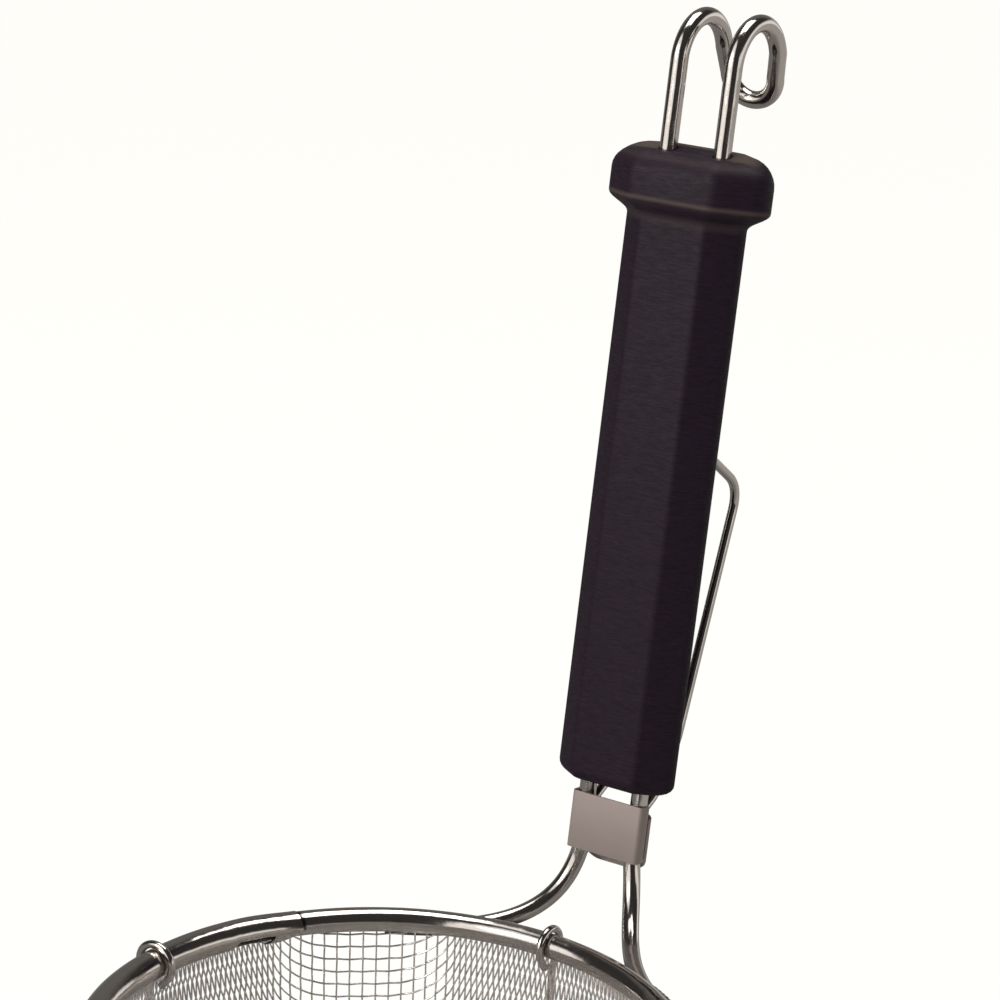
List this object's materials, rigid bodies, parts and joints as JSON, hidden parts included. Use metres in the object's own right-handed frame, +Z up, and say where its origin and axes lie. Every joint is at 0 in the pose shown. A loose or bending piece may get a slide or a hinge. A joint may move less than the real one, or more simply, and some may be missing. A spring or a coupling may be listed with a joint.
{
  "type": "noodle strainer basket",
  "caption": "Deep round wire-mesh strainer basket with a rolled rim, a leaning bent-rod handle, a flared hexagonal grip, a hang hook and a springy clip behind the grip.",
  "frame": {"origin": "midway between the hang hook's two arches, at the underside of their crowns, where a rail touches", "axes": "+Z up with the basket's mouth level, +Y from the basket towards the handle, +X towards the hook's right arch as seen from the basket"},
  "size_m": [0.153, 0.2312, 0.3692],
  "materials": {
    "polished_steel": "polished",
    "woven_steel": "bright drawn wire",
    "black_plastic": "matte with fine cross lines"
  },
  "bodies": {
    "strainer": {"mesh_basket": "woven_steel", "rim_band": "polished_steel", "rim_wire": "polished_steel", "rib_wire_long": "polished_steel", "rib_wire_cross": "polished_steel", "handle_rod": "polished_steel", "collar_front": "polished_steel", "collar_back": "polished_steel", "clip_root_left": "polished_steel", "clip_root_right": "polished_steel", "weld_left": "polished_steel", "weld_right": "polished_steel", "grip": "black_plastic"},
    "clip": {"clip_wire": "polished_steel"}
  },
  "joints": [
    {"name": "clip_spring", "type": "hinge", "parent": "strainer", "child": "clip", "pos_m": [0, -0.03641, -0.19726], "axis": [-1, 0, 0], "range_deg": [0, 5], "stiffness_Nm_per_rad": 25}
  ]
}
